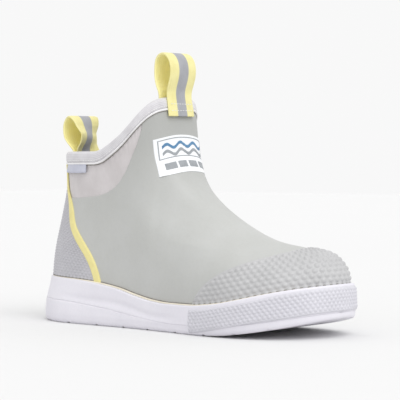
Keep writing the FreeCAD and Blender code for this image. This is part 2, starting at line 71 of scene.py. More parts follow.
INNER_W = [[31, 31, 30, 28.5, 33, 41, 44, 43, 43],
           [31, 31.5, 31, 30, 34, 42, 45, 44, 44],
           [30, 31, 32, 33, 36, 41, 43, 42, 42],
           [29, 30, 33, 35.5, 37, 40, 41, 40, 40],
           [29, 31, 34.5, 37, 37, 39, 40, 40, 40],
           [31, 33, 37, 38.5, 38.5, 40, 40, 40, 40],
           [33, 35, 39, 40, 40, 40, 40, 40, 40]]
BITE = [(-150, 38.8), (-120, 38.3), (-90, 37.0), (-60, 34.2), (-40, 31.0), (-20, 26.4),
        (0, 22.8), (20, 21.2), (40, 21.6), (60, 23.8), (80, 27.4), (100, 31.8), (120, 36.0), (150, 40.5)]
SOLE_TOP = [(-150, 35.6), (-130, 35.3), (-105, 34.9), (-75, 33.6), (-44, 29.8), (-24, 25.2), (-5, 22.1),
            (12, 21.0), (34, 21.2), (60, 23.6), (80, 27.3), (100, 31.8), (120, 36.0), (150, 40.5)]
UNDER = [(-150, 4.5), (-140, 2.2), (-130, 0.6), (-120, 0.0), (45, 0.0), (62, 0.9), (80, 2.8),
         (100, 6.0), (120, 10.2), (150, 18.0)]
SPLIT = [(-150, 18.5), (-100, 17.5), (-60, 14.5), (-20, 9.5), (20, 6.5), (60, 7.2), (100, 12.0),
         (150, 21.0)]
COLLAR = [(-150, 132.4), (-110, 132.4), (-85, 132.5), (-70, 132.6), (-62, 134.0), (-54.5, 137.4),
          (-47.1, 141.6), (-39.5, 146.8), (-33.1, 152.8), (-27.9, 158.6), (-23.0, 164.2), (-18.2, 169.4),
          (-14.4, 172.8), (-11.5, 174.5), (0, 175.0), (10, 175.0)]
GUSSET = [(-150, 97.6), (-112, 97.6), (-92, 97.8), (-76, 98.8), (-66, 99.8), (-57.9, 101.4),
          (-50.4, 104.2), (-43, 109), (-37.5, 115), (-33.4, 121.5), (-30.1, 129), (-26.6, 136.7),
          (-23.8, 145), (-22.1, 152.5), (-21.7, 162), (-21.0, 190)]
TOECAP = [(34, 12), (36.5, 22), (43.7, 32.8), (53, 40.5), (65, 47.4), (76, 52.4), (87, 56.4),
          (97, 59.6), (104, 62.4), (108, 66), (112, 80), (114, 120)]
STRIPE_LINE = [(-112.2, 140.0), (-112.0, 126.0), (-111.6, 118.0), (-110.4, 111.0), (-107.4, 104.4),
               (-103.2, 98.6), (-99.4, 92.4), (-97.0, 86.0), (-94.0, 77.0), (-88.5, 68.8),
               (-81.5, 60.6), (-75.0, 53.0), (-69.6, 44.5), (-65.8, 35.0), (-63.0, 24.0)]
STRIPE_W, STRIPE_THIN = 7.0, 0.38
BAND_LOW = [(30, 1.0), (48, 2.6), (70, 6.6), (92, 11.0), (119, 16.0), (130, 18.4), (150, 21.5)]
BAND_TOP = [(30, 18.0), (48, 19.3), (70, 22.8), (88, 26.2), (100, 29.2), (115, 33.0), (129, 36.0),
            (150, 39.0)]
VALLEY = [(-150, 22.5), (-97, 21.3), (-71, 19.5), (-51, 19.0), (-37, 17.6), (-24, 15.3), (-11, 12.5),
          (3, 11.0), (150, 11)]
HEEL_LEAN = [(5, 0.0), (10, 0.2), (16, 0.5), (22, 1.5), (29, 2.8), (36, 3.9)]
NOTCHES = [-118.0, -92.0, -62.0, -34.0, -8.0, 22.0, 52.0, 80.0, 106.0]
NOTCH_H, NOTCH_HALF = 1.3, 1.25
BAND_X0 = 37.0
SOLE_SIDE = [(0.0, 4.0), (0.9, 5.3), (2.6, 6.2), (7.0, 6.7), (20.0, 6.1)]
TAG_X, TAG_L, TAG_H = -107.5, 31.0, 6.8
STRAP_HALF, STRAP_T, STRAP_STEPS = 15.0, 1.7, 230
FRONT_PIVOT, REAR_PIVOT = (-14.4, 170.6), (-118.9, 130.2)
FRONT_LOOP = [(4.0, 6.3), (3.6, 10.0), (5.0, 15.0), (6.6, 20.5), (6.8, 27.4), (4.2, 34.4), (-1.4, 38.0),
              (-6.6, 35.6), (-8.9, 28.6), (-9.0, 20.5), (-7.4, 13.5), (-5.4, 9.0), (-4.2, 6.3)]
REAR_LOOP = [(3.9, 5.6), (1.8, 9.5), (-0.4, 14.5), (-1.6, 20.0), (-1.2, 25.5), (1.8, 30.4), (5.8, 31.6),
             (9.4, 28.0), (11.4, 21.5), (12.6, 15.6), (9.8, 9.6), (7.6, 5.2)]
# moulded studs: pitch along a row, pitch between rows, the stud's two radii, and its height
TOE_STUDS, TOE_STUD_H = (5.6, 3.6, 2.1, 1.85), 1.0
HEEL_STUDS, HEEL_STUD_H = (4.0, 2.3, 1.5, 1.35), 0.75
BAND_STUDS, BAND_STUD_H = (3.7, 2.5, 1.45, 1.6), 0.75


# ---------------------------------------------------------------- curves
def pchip(xs, rows, x):
    """monotone cubic through knots xs with one row of values per knot, at the points x"""
    xs = np.asarray(xs, float)
    rows = [np.asarray(r, float) + 0 * x for r in rows]
    n = len(xs)
    h = np.diff(xs)
    slope = [(rows[i + 1] - rows[i]) / h[i] for i in range(n - 1)]
    m = [slope[0]] + [None] * (n - 2) + [slope[-1]]
    for i in range(1, n - 1):
        w1, w2 = 2 * h[i] + h[i - 1], h[i] + 2 * h[i - 1]
        product = slope[i - 1] * slope[i]
        with np.errstate(divide="ignore", invalid="ignore"):
            value = (w1 + w2) / (w1 / slope[i - 1] + w2 / slope[i])
        m[i] = np.where(product > 0, value, 0.0)
    x = np.clip(x, xs[0], xs[-1])
    out = np.zeros_like(x)
    for i in range(n - 1):
        inside = (x >= xs[i]) & (x <= xs[i + 1])
        t = (x - xs[i]) / h[i]
        left = (2 * t ** 3 - 3 * t ** 2 + 1) * rows[i] + (t ** 3 - 2 * t ** 2 + t) * h[i] * m[i]
        right = (3 * t ** 2 - 2 * t ** 3) * rows[i + 1] + (t ** 3 - t ** 2) * h[i] * m[i + 1]
        out = np.where(inside, left + right, out)
    return out


def smooth(points):
    xs = [p[0] for p in points]
    fine = np.unique(np.concatenate([np.linspace(xs[0], xs[-1], 1500), xs]))
    values = pchip(xs, [p[1] for p in points], fine)
    return lambda x: np.interp(x, fine, values)


def natural(points):
    """natural cubic spline, sampled finely"""
    xs, ys = np.array(points, float).T
    n, h = len(xs), np.diff(xs)
    a = np.eye(n)
    d = np.zeros(n)
    for i in range(1, n - 1):
        a[i, i - 1:i + 2] = h[i - 1], 2 * (h[i - 1] + h[i]), h[i]
        d[i] = 6 * ((ys[i + 1] - ys[i]) / h[i] - (ys[i] - ys[i - 1]) / h[i - 1])
    m = np.linalg.solve(a, d)
    fine = np.linspace(xs[0], xs[-1], 3000)
    k = np.clip(np.searchsorted(xs, fine) - 1, 0, n - 2)
    t0, t1, hk = xs[k + 1] - fine, fine - xs[k], h[k]
    curve = (m[k] * t0 ** 3 + m[k + 1] * t1 ** 3) / (6 * hk)
    line = (ys[k] / hk - m[k] * hk / 6) * t0 + (ys[k + 1] / hk - m[k + 1] * hk / 6) * t1
    return lambda x: np.interp(x, fine, curve + line)


def running_length(points):
    """length from the first point to each point of a polyline"""
    return np.concatenate([[0], np.cumsum(np.linalg.norm(np.diff(points, axis=0), axis=1))])


def length_across(p):
    """length from the first column of a grid of points, along each of its rows"""
    d = np.linalg.norm(np.diff(p, axis=1), axis=2)
    return np.concatenate([np.zeros((len(p), 1)), np.cumsum(d, axis=1)], 1)


def path_2d(points, count):
    """smooth curve through 2-D points at equal steps of length, with its length at each"""
    p = np.array(points, float)
    q = running_length(p)
    fx, fz = natural(list(zip(q, p[:, 0]))), natural(list(zip(q, p[:, 1])))
    fine = np.linspace(0, q[-1], 1200)
    c = np.stack([fx(fine), fz(fine)], 1)
    length = running_length(c)
    s = np.linspace(0, length[-1], count)
    return np.stack([np.interp(s, length, c[:, 0]), np.interp(s, length, c[:, 1])], 1), s


def step(a, b, x):
    t = np.clip((x - a) / (b - a), 0, 1)
    return t * t * (3 - 2 * t)


front_x, back_x = natural(FRONT), natural(BACK)
nose_len, tail_len, blunt = smooth(NOSE), smooth(TAIL), smooth(BLUNT)
outer_rows = [smooth(list(zip(WIDTH_X, row))) for row in OUTER_W]
inner_rows = [smooth(list(zip(WIDTH_X, row))) for row in INNER_W]
bite_z, under_z, split_z, collar_z = smooth(BITE), smooth(UNDER), smooth(SPLIT), smooth(COLLAR)
gusset_z, toecap_z, sole_top_z = smooth(GUSSET), smooth(TOECAP), smooth(SOLE_TOP)
band_low_z, band_top_z, valley_z = smooth(BAND_LOW), smooth(BAND_TOP), smooth(VALLEY)
RIDGE_Z = 206.0 - 0.25 * np.arange(769)
RIDGE_X = np.maximum.accumulate(front_x(RIDGE_Z)) + 1e-6 * np.arange(769)


def ridge_z(x):
    inside = np.interp(x, RIDGE_X, RIDGE_Z)
    return np.where(x < RIDGE_X[0], RIDGE_Z[0] + (RIDGE_X[0] - x) * 4.0, inside)


# ---------------------------------------------------------------- the upper's face
def swing(x):
    """how far the foot's middle line swings to the inner side towards the toe"""
    k = np.clip((x + 15) / 160, 0, 1)
    return 8 * k * k


def foot(t, z):
    """points of the upper's face: t runs 0..1 from the heel round the outer side, toe and inner side"""
    t, z = np.broadcast_arrays(np.asarray(t, float) % 1.0, np.asarray(z, float))
    side = np.where(t < 0.5, -1.0, 1.0)
    s = np.where(t < 0.5, 2 * t, 2 * (1 - t))
    xb, xf = back_x(z), front_x(z)
    x = xb + (xf - xb) * (1 - np.cos(np.pi * s)) / 2
    uf = np.clip((xf - x) / nose_len(z), 0, 1)
    ub = np.clip((x - xb) / tail_len(z), 0, 1)
    plan = np.maximum(1e-7, 1 - (1 - uf) ** 2.25)
    rise = np.clip((z - ARCH_Z) / np.maximum(1.0, ridge_z(x) - ARCH_Z), 0, 1)
    arch = np.maximum(1e-7, 1 - rise ** ARCH_POWER)
    front = (1 / (1 / plan + 1 / arch - 1)) ** (1 / blunt(z)) * (s < 1)
    round_off = front * np.sqrt(np.maximum(0, 1 - (1 - ub) ** 2.3))
    outer = pchip(WIDTH_Z, [r(x) for r in outer_rows], z)
    inner = pchip(WIDTH_Z, [r(x) for r in inner_rows], z)
    width = np.where(side < 0, outer, inner)
    return np.stack([x, swing(x) + side * width * round_off + SHIFT_Y, z], -1)


def unit(v):
    return v / np.maximum(1e-9, np.linalg.norm(v, axis=-1, keepdims=True))


def foot_normal(t, z):
    along = foot(t + 0.002, z) - foot(t - 0.002, z)
    up = foot(t, z + 0.4) - foot(t, z - 0.4)
    return unit(np.cross(along, up))


def column_of(x, z, side):
    """t of the face's point at a side view place"""
    xb, xf = back_x(z), front_x(z)
    s = np.arccos(np.clip(1 - 2 * (x - xb) / (xf - xb), -1, 1)) / np.pi
    return np.where(side < 0, s / 2, 1 - s / 2)


def crossing(t, line, low, high):
    """height on each column t at which the face crosses the side view line"""
    a, b = np.full(len(t), float(low)), np.full(len(t), float(high))
    for _ in range(36):
        m = (a + b) / 2
        above = m > line(foot(t, m)[:, 0])
        a, b = np.where(above, a, m), np.where(above, m, b)
    return (a + b) / 2


def column_rows(t, low, high, count, edge=(0.0,)):
    """heights on each column, even along the face, with rows close to both ends, and their lengths"""
    f = np.linspace(0, 1, 90)
    z = low[:, None] + (high - low)[:, None] * f
    p = foot(np.repeat(t[:, None], len(f), 1), z)
    length = length_across(p)
    edge = np.array(edge)
    out_z, out_v = [], []
    for i in range(len(t)):
        total = max(length[i, -1], 1e-4)
        e = edge * min(1.0, total / (2.2 * max(edge[-1], 1e-6)))
        v = np.concatenate([e, np.linspace(e[-1], total - e[-1], count + 2)[1:-1], total - e[::-1]])
        out_v.append(v)
        out_z.append(np.interp(v, length[i], z[i]))
    return np.array(out_z), np.array(out_v)


def run_along(p):
    """length along each row of a grid, zero in the middle column"""
    d = np.linalg.norm(np.diff(p, axis=0), axis=2)
    u = np.concatenate([np.zeros((1, p.shape[1])), np.cumsum(d, axis=0)])
    return u - u[len(u) // 2]


def rounded(v, total, radius):
    """how far a strip's face drops towards its two ends when they are rounded"""
    d = np.minimum(v, total - v)
    k = np.clip(1 - d / radius, 0, 1)
    return -radius * (1 - np.sqrt(1 - k * k))


def bumps(u, v, pitch_u, pitch_v, radius_u, radius_v):
    """staggered rounded studs, 0 to 1: rows pitch_v apart, studs pitch_u apart along each row"""
    height = np.zeros(np.broadcast(u, v).shape)
    row = np.floor(v / pitch_v)
    for k in (0, 1):
        r = row + k
        shift = 0.5 * np.mod(r, 2)
        du = u / pitch_u - shift
        du = (du - np.round(du)) * pitch_u / radius_u
        dv = (v - r * pitch_v) / radius_v
        height = np.maximum(height, np.clip(1 - du * du - dv * dv, 0, 1))
    return height


def from_edge(p, edge):
    """for each face point: its place along an edge curve and its distance from it"""
    s = running_length(edge)
    s = s - s[-1] / 2
    tangent = unit(np.gradient(edge, axis=0))
    along, away = np.zeros(p.shape[:2]), np.zeros(p.shape[:2])
    for k in range(p.shape[1]):
        d = np.linalg.norm(p[:, k, None, :] - edge[None, :, :], axis=2)
        j = np.argmin(d, axis=1)
        away[:, k] = d[np.arange(len(j)), j]
        along[:, k] = s[j] + np.sum((p[:, k] - edge[j]) * tangent[j], axis=1)
    return along, away


# ---------------------------------------------------------------- meshes
def make(name, verts, faces, uvs=None, smooth_faces=True):
    mesh = bpy.data.meshes.new(name)
    mesh.from_pydata([tuple(v) for v in np.asarray(verts) * MM], [], faces)
    if uvs is not None:
        layer = mesh.uv_layers.new(name="UVMap")
        loops = np.zeros(len(mesh.loops), int)
        mesh.loops.foreach_get("vertex_index", loops)
        layer.data.foreach_set("uv", np.asarray(uvs, np.float32)[loops].ravel())
    mesh.polygons.foreach_set("use_smooth", [smooth_faces] * len(mesh.polygons))
    mesh.validate()
    obj = bpy.data.objects.new(name, mesh)
    bpy.context.scene.collection.objects.link(obj)
    return obj


def grid_faces(n, m, wrap_n=False, wrap_m=False, base=0, flip=False):
    a = np.arange(n if wrap_n else n - 1)[:, None]
    b = np.arange(m if wrap_m else m - 1)[None, :]
    a1, b1 = (a + 1) % n, (b + 1) % m
    quads = np.stack([a * m + b, a1 * m + b, a1 * m + b1, a * m + b1], -1).reshape(-1, 4) + base
    return (quads[:, ::-1] if flip else quads).tolist()


def shell(name, face, back, uv, wrap=False):
    """closed thin piece from a grid of face points and a grid of points behind them"""
    n, m = face.shape[:2]
    verts = np.concatenate([face.reshape(-1, 3), back.reshape(-1, 3)])
    faces = grid_faces(n, m, wrap) + grid_faces(n, m, wrap, base=n * m, flip=True)
    last = n if wrap else n - 1
    for i in range(last):
        j = (i + 1) % n
        low, low1, high, high1 = i * m, j * m, i * m + m - 1, j * m + m - 1
        faces.append([low1, low, low + n * m, low1 + n * m])
        faces.append([high, high1, high1 + n * m, high + n * m])
    if not wrap:
        for k in range(m - 1):
            end = (n - 1) * m + k
            faces.append([k, k + 1, k + 1 + n * m, k + n * m])
            faces.append([end + 1, end, end + n * m, end + 1 + n * m])
    uvs = uv.reshape(-1, 2)
    return make(name, verts, faces, np.concatenate([uvs, uvs]))


def capped(name, body, uv, low=True):
    """closed body from a ring of rows, closed by one face at its last column and, if low, at its first"""
    n, m = body.shape[:2]
    faces = grid_faces(n, m, True)
    if low:
        faces.append([i * m for i in range(n)][::-1])
    faces.append([i * m + m - 1 for i in range(n)])
    return make(name, body.reshape(-1, 3), faces, uv)


def swept(name, profile, t, base, line=0.0):
    """closed bar swept round the collar or the bite line: profile rows are (height, outward)"""
    prof = np.array(profile, float)
    grid_t = np.repeat(t[:, None], len(prof), 1)
    z = base[:, None] + prof[:, 0]
    outward = prof[:, 1] + np.broadcast_to(line, t.shape)[:, None]
    p = foot(grid_t, z) + foot_normal(grid_t, z) * outward[..., None]
    u = run_along(p)
    v = running_length(prof)
    uv = np.stack([u, np.broadcast_to(v, u.shape)], -1)
    n, m = p.shape[:2]
    return make(name, p.reshape(-1, 3), grid_faces(n, m, True, True), uv.reshape(-1, 2))


def rounded_profile(points, count):
    """closed profile with its corners smoothed"""
    p = np.array(points, float)
    p = np.concatenate([p, p[:1]])
    for _ in range(3):
        a, b = p[:-1], p[1:]
        q = np.empty((2 * len(a), 2))
        q[0::2], q[1::2] = 0.75 * a + 0.25 * b, 0.25 * a + 0.75 * b
        p = np.concatenate([q, q[:1]])
    s = running_length(p)
    k = np.linspace(0, s[-1], count + 1)[:-1]
    return np.stack([np.interp(k, s, p[:, 0]), np.interp(k, s, p[:, 1])], 1)


# ---------------------------------------------------------------- materials
def linear(r, g, b):
    c = np.array([r, g, b]) / 255.0
    c = np.where(c <= 0.04045, c / 12.92, ((c + 0.055) / 1.055) ** 2.4)
    return (float(c[0]), float(c[1]), float(c[2]), 1.0)


class Finish:
    """a Principled material and the few node calls that the finishes below are made of"""

    def __init__(self, name, rough=0.5, specular=0.4, sheen=0.0, sheen_rough=0.5):
        self.material = bpy.data.materials.new(name)
        self.material.use_nodes = True
        self.tree = self.material.node_tree
        self.shader = self.tree.nodes["Principled BSDF"]
        self.shader.inputs["Roughness"].default_value = rough
        self.shader.inputs["Specular IOR Level"].default_value = specular
        self.shader.inputs["Sheen Weight"].default_value = sheen
        self.shader.inputs["Sheen Roughness"].default_value = sheen_rough
        self.geometry = None
        self.object = self.node("ShaderNodeTexCoord").outputs["Object"]

    def node(self, kind, inputs=(), **settings):
        n = self.tree.nodes.new(kind)
        for key, value in settings.items():
            setattr(n, key, value)
        for key, value in dict(inputs).items():
            if isinstance(value, bpy.types.NodeSocket):
                self.tree.links.new(value, n.inputs[key])
            else:
                n.inputs[key].default_value = value
        return n

    def math(self, operation, a, b=0.0, c=0.0):
        return self.node("ShaderNodeMath", {0: a, 1: b, 2: c}, operation=operation).outputs[0]

    def noise(self, size_mm, detail=2.0, rough=0.5, vector=None):
        scale = 1000.0 / size_mm if vector is None else 1.0 / size_mm
        inputs = {"Vector": vector or self.object, "Scale": scale, "Detail": detail, "Roughness": rough}
        return self.node("ShaderNodeTexNoise", inputs).outputs["Fac"]

    def uv(self):
        """the piece's own millimetre coordinates: along it, and across it"""
        n = self.node("ShaderNodeSeparateXYZ", {0: self.node("ShaderNodeUVMap", uv_map="UVMap").outputs[0]})
        return n.outputs[0], n.outputs[1]

    def span(self, value, a, b, c=0.0, d=1.0):
        inputs = {"Value": value, "From Min": a, "From Max": b, "To Min": c, "To Max": d}
        return self.node("ShaderNodeMapRange", inputs, interpolation_type="SMOOTHSTEP").outputs[0]

    def mix(self, factor, a, b):
        n = self.node("ShaderNodeMix", data_type="RGBA")
        for socket, value in ((n.inputs[0], factor), (n.inputs[6], a), (n.inputs[7], b)):
            if isinstance(value, bpy.types.NodeSocket):
                self.tree.links.new(value, socket)
            else:
                socket.default_value = value
        return n.outputs[2]

    def colour(self, socket):
        self.tree.links.new(socket, self.shader.inputs["Base Color"])

    def roughness(self, socket):
        self.tree.links.new(socket, self.shader.inputs["Roughness"])

    def bump(self, height, mm, strength=1.0):
        inputs = {"Height": height, "Distance": mm * MM, "Strength": strength}
        if self.geometry is not None:
            inputs["Normal"] = self.geometry
        self.geometry = self.node("ShaderNodeBump", inputs).outputs[0]
        self.tree.links.new(self.geometry, self.shader.inputs["Normal"])


def rubber(name, light, dark, rough=0.5, patch=28.0, grain=0.7, depth=0.035, specular=0.38, wave=0.25):
    f = Finish(name, rough, specular)
    blotch = f.span(f.noise(patch, 3.0, 0.55), 0.3, 0.7)
    speck = f.span(f.noise(2.2, 2.0), 0.35, 0.75)
    shade = f.math("ADD", f.math("MULTIPLY", blotch, 0.7), f.math("MULTIPLY", speck, 0.3))
    f.colour(f.mix(shade, light, dark))
    f.roughness(f.span(f.noise(6.0, 3.0), 0.2, 0.8, rough - 0.07, rough + 0.09))
    f.bump(f.noise(22.0, 1.5), wave, 0.6)
    f.bump(f.noise(grain, 3.0, 0.6), depth, 0.8)
    return f


def woven(name, light, dark, along_mm, across_mm, depth, rough=0.8, sheen=0.25, bands=None):
    """ribbed or woven cloth from the piece's own coordinates; bands colours the middle of a strap"""
    f = Finish(name, rough, 0.25, sheen, 0.6)
    u, v = f.uv()
    warp = f.math("SINE", f.math("MULTIPLY", v, 2 * math.pi / across_mm))
    shift = f.math("MULTIPLY", f.math("FLOOR", f.math("MULTIPLY", v, 1.0 / across_mm)), math.pi)
    pick = f.math("SINE", f.math("ADD", f.math("MULTIPLY", u, 2 * math.pi / along_mm), shift))
    cloth = f.math("ADD", f.math("MULTIPLY", warp, 0.35), f.math("MULTIPLY", pick, 0.15))
    cloth = f.math("ADD", cloth, 0.5)
    dirt = f.math("MULTIPLY", f.span(f.noise(9.0, 3.0), 0.3, 0.75), 0.35)
    shade = f.math("ADD", f.math("MULTIPLY", f.math("SUBTRACT", 1.0, cloth), 0.65), dirt)
    colour = f.mix(shade, light, dark)
    if bands:
        low, high, band_light, band_dark = bands
        inside = f.math("MULTIPLY", f.span(v, low - 0.25, low + 0.25), f.span(v, high + 0.25, high - 0.25))
        colour = f.mix(inside, colour, f.mix(shade, band_light, band_dark))
    f.colour(colour)
    f.bump(cloth, depth, 1.0)
    f.bump(f.noise(0.6, 2.0), depth * 0.5, 0.6)
    return f


UPPER = rubber("upper_rubber", linear(190, 191, 189), linear(184, 185, 182), 0.5, 34.0)
height = UPPER.node("ShaderNodeSeparateXYZ", {0: UPPER.object}).outputs[2]
# painted shade: the upper's colour blends to a darker grey towards the top of the shaft (75 to 165 mm up),
# standing in for the shade on its outward-leaning face
shaft = UPPER.math("MULTIPLY", UPPER.span(height, 0.075, 0.165), 0.65)
plain_colour = UPPER.shader.inputs["Base Color"].links[0].from_socket
UPPER.colour(UPPER.mix(shaft, plain_colour, linear(158, 159, 156)))
TOE = rubber("toe_cap_rubber", linear(190, 190, 191), linear(181, 181, 182), 0.4, 20.0, 0.9, 0.03)
HEEL = rubber("heel_cover_rubber", linear(193, 192, 197), linear(184, 183, 188), 0.42, 20.0, 0.9, 0.03)
SOLE = rubber("sole_rubber", linear(228, 226, 233), linear(221, 219, 227), 0.42, 40.0, 1.1, 0.02, 0.4, 0.2)
TREAD = rubber("outsole_rubber", linear(228, 226, 233), linear(221, 219, 227), 0.46, 30.0, 1.1, 0.03)
BAND = rubber("toe_band_rubber", linear(210, 209, 216), linear(202, 201, 208), 0.44, 18.0, 0.9, 0.03)
YELLOW = rubber("stripe_rubber", linear(235, 225, 157), linear(227, 215, 147), 0.46, 9.0, 0.8, 0.03)
CREAM = rubber("welt_rubber", linear(242, 235, 219), linear(232, 223, 204), 0.55, 7.0, 0.7, 0.05)
# painted shadow: a dark grey finish for thin rings that stand in for the shade in narrow gaps
SHADOW_LINE = rubber("painted_shadow_line", linear(142, 138, 132), linear(118, 114, 108), 0.7, 7.0, 0.7, 0.05)
BINDING = woven("binding_tape", linear(223, 222, 225), linear(190, 187, 191), 1.15, 1.3, 0.12)
PIPING = woven("piping_cord", linear(246, 245, 246), linear(218, 216, 218), 0.9, 0.8, 0.08, 0.6, 0.1)
TAG = woven("tag_cloth", linear(206, 208, 220), linear(172, 175, 192), 0.7, 0.6, 0.07)
LINING = woven("lining_knit", linear(184, 184, 187), linear(146, 146, 150), 1.4, 1.2, 0.14, 0.9, 0.4)
BED_CLOTH = woven("footbed_cloth", linear(160, 162, 167), linear(120, 122, 128), 1.1, 1.1, 0.12, 0.9, 0.4)
THREAD = woven("sewing_thread", linear(244, 244, 242), linear(208, 208, 206), 0.5, 0.4, 0.04)
GREY_BAND = (9.6, 20.5, linear(172, 173, 178), linear(144, 145, 150))
STRAP_FRONT = woven("front_webbing", linear(241, 234, 172), linear(220, 210, 138), 1.3, 1.0, 0.12,
                    0.75, 0.2, GREY_BAND)
STRAP_BACK = woven("webbing_underside", linear(255, 249, 188), linear(249, 239, 162), 1.3, 1.0, 0.14,
                   0.75, 0.2)
FOAM = rubber("footbed_foam", linear(122, 124, 128), linear(96, 98, 103), 0.9, 14.0, 0.5, 0.12, 0.2)


def knit(name, light, dark):
    """stretch knit over foam, with faint pulls running down from the binding"""
    f = Finish(name, 0.85, 0.2, 0.35, 0.6)
    u, v = f.uv()
    rib = f.math("SINE", f.math("MULTIPLY", u, 2 * math.pi / 0.9))
    course = f.math("SINE", f.math("MULTIPLY", v, 2 * math.pi / 0.7))
    cloth = f.math("MULTIPLY_ADD", f.math("MULTIPLY", rib, course), 0.3, 0.5)
    squeezed = {0: f.math("MULTIPLY", u, 0.32), 1: f.math("MULTIPLY", v, 0.035)}
    pull = f.noise(1.0, 2.0, 0.5, f.node("ShaderNodeCombineXYZ", squeezed).outputs[0])
    blotch = f.span(f.noise(16.0, 3.0), 0.3, 0.7)
    shade = f.math("ADD", f.math("MULTIPLY", blotch, 0.55), f.math("MULTIPLY", cloth, 0.35))
    f.colour(f.mix(shade, light, dark))
    f.bump(pull, 0.8, 0.55)
    f.bump(cloth, 0.08, 0.8)
    return f


KNIT = knit("gusset_knit", linear(208, 203, 204), linear(190, 185, 185))


def finish(obj, f, body="boot", replaces=()):
    obj.data.materials.clear()
    obj.data.materials.append(f.material)
    if body:
        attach(obj, body)
    if replaces:
        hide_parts(*replaces)
    return obj


# ---------------------------------------------------------------- upper
EDGE = (0.0, 0.12, 0.3, 0.6, 1.0)
ring_t = np.arange(440) / 440.0
low = crossing(ring_t, sole_top_z, 14, 60) - 1.5
top_collar = crossing(ring_t, collar_z, 100, 200)
top_gusset = crossing(ring_t, gusset_z, 60, 200)
high = np.minimum(top_gusset, top_collar - 1.0)
z, v = column_rows(ring_t, low, high, 96, EDGE)
tt = np.repeat(ring_t[:, None], z.shape[1], 1)
p, n = foot(tt, z), foot_normal(tt, z)
u = run_along(p)
at_gusset = (top_gusset < top_collar - 1.0)[:, None]
lip = np.where(at_gusset & (v > v[:, -1:] / 2), rounded(v, v[:, -1:], 0.7), 0.0)
uv = np.stack([u, v], -1)
upper = shell("upper_shell", p + n * lip[..., None], p - n * RUBBER, uv, True)
finish(upper, UPPER, "boot", ["rubber_upper"])

# the knit gussets: a little under the rubber's face, tucked below its edge
for label, side in (("outer", -1), ("inner", 1)):
    ts = np.linspace(0.02, 0.43, 175)
    ts = ts if side < 0 else 1 - ts[::-1]
    lo = crossing(ts, gusset_z, 60, 200) - 2.0
    hi = crossing(ts, collar_z, 100, 200) - 1.5
    keep = hi > lo + 0.6
    ts, lo, hi = ts[keep], lo[keep], hi[keep]
    z, v = column_rows(ts, lo, hi, 50)
    tt = np.repeat(ts[:, None], z.shape[1], 1)
    p, n = foot(tt, z), foot_normal(tt, z)
    u = run_along(p)
    # soft: a shallow swell in the middle of the panel and small pulls under the binding
    swell = 0.35 * np.sin(np.pi * np.clip(v / v[:, -1:], 0, 1))
    near_top = step(20.0, 7.0, v[:, -1:] - v)
    pulls = 0.16 * np.sin(u * 2 * np.pi / 5.3 + 2.0 * np.sin(u / 11.0)) * near_top
    face = p + n * (-0.75 + swell + pulls)[..., None]
    g = shell("gusset_knit_" + label, face, p - n * RUBBER, np.stack([u, v], -1))
    finish(g, KNIT, "boot", ["gusset_%s_side" % label])

# ---------------------------------------------------------------- toe cap with moulded studs
ts = np.linspace(0.288, 0.712, 560)
lo = crossing(ts, bite_z, 14, 60)
hi = crossing(ts, toecap_z, 14, 80)
keep = hi > lo + 0.5
ts, lo, hi = ts[keep], lo[keep], hi[keep]
z, v = column_rows(ts, lo - 0.5, hi, 110, EDGE)
tt = np.repeat(ts[:, None], z.shape[1], 1)
p, n = foot(tt, z), foot_normal(tt, z)
u = run_along(p)
fade = step(0.8, 3.4, v[:, -1:] - v)
along, away = from_edge(p, p[:, 0])
relief = TOE_STUD_H * bumps(along, away - 1.2, *TOE_STUDS) * fade
edge_drop = np.where(v > v[:, -1:] / 2, rounded(v, v[:, -1:], 0.9), 0.0)
face = p + n * (0.6 + edge_drop * 0.7 + relief)[..., None]
cap = shell("toe_cap_skin", face, p + n * -0.02, np.stack([u, v], -1))
finish(cap, TOE, "boot", ["toe_cap"])

# ---------------------------------------------------------------- heel cover and yellow stripes
stripe_path, stripe_s = path_2d(STRIPE_LINE, 220)
order = np.argsort(stripe_path[:, 1])
stripe_x = lambda z: np.interp(z, stripe_path[order, 1], stripe_path[order, 0])
f_u, f_v = np.linspace(-1, 1, 260), np.linspace(0, 1, 230)
uu, vv = np.meshgrid(f_u, f_v, indexing="ij")
z = 40 + 80 * vv
for _ in range(12):
    limit = column_of(stripe_x(z), z, -1.0)
    tc = uu * limit * -1.0
    x = foot(tc, z)[..., 0]
    z = (sole_top_z(x) - 0.5) * (1 - vv) + (collar_z(x) - BIND_H - PIPE_H + 0.6) * vv
tc = -uu * column_of(stripe_x(z), z, -1.0)
p, n = foot(tc, z), foot_normal(tc, z)
n = n * np.where(np.sum(n[..., :2] * (p[..., :2] - np.array([-90, SHIFT_Y])), -1, keepdims=True) < 0, -1, 1)
u = run_along(p)
v = length_across(p)
relief = HEEL_STUD_H * bumps(u, v, *HEEL_STUDS) * step(1.0, 0.95, np.abs(uu))
face = p + n * (0.35 + relief)[..., None]
cover = shell("heel_cover_skin", face, p + n * -0.02, np.stack([u, v], -1))
finish(cover, HEEL, "boot", ["heel_cover"])

